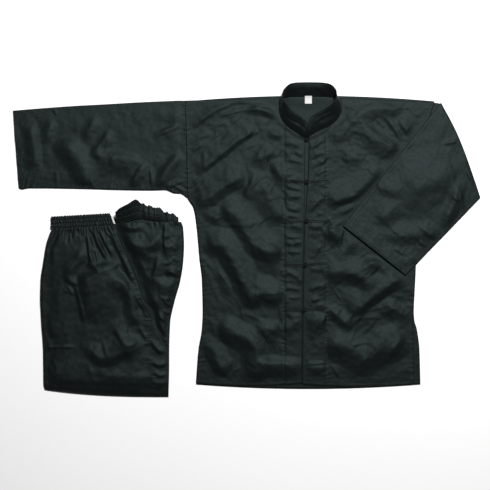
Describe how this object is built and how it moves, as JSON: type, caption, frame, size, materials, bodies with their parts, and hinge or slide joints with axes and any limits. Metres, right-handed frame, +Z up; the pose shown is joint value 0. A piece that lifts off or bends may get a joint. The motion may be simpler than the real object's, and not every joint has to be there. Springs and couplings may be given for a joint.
{
  "type": "tai chi uniform",
  "caption": "Laid-out tai chi uniform: stand-collar jacket with knotted frog closures and a folded-over sleeve, beside folded trousers with a gathered elastic waist.",
  "frame": {"origin": "centre of the uniform's outline, on the surface it lies on", "axes": "+X towards the folded sleeve (the wearer's left), +Y towards the collar, +Z up from the surface"},
  "size_m": [1.1704, 0.786, 0.0374],
  "materials": {
    "cloth": "matte black cotton blend, plain weave",
    "collar": "matte black cotton blend, doubled and stiffened",
    "casing": "matte black cotton blend gathered over elastic",
    "cord": "black bias cord with a faint sheen",
    "label": "white woven tape, blank"
  },
  "bodies": {
    "root": {"back_panel": "cloth", "front_right": "cloth", "front_left": "cloth", "front_underlap": "cloth", "sleeve_right": "cloth", "sleeve_left": "cloth", "collar": "collar", "neck_label": "label", "trousers_folded_layers": "cloth", "trousers_top_leg": "cloth", "trousers_under_leg": "cloth", "waistband_front": "casing", "waistband_back": "casing", "waist_label": "label", "frog_1_button": "cord", "frog_1_loop": "cord", "frog_2_button": "cord", "frog_2_loop": "cord", "frog_3_button": "cord", "frog_3_loop": "cord", "frog_4_button": "cord", "frog_4_loop": "cord", "frog_5_button": "cord", "frog_5_loop": "cord"}
  },
  "joints": []
}
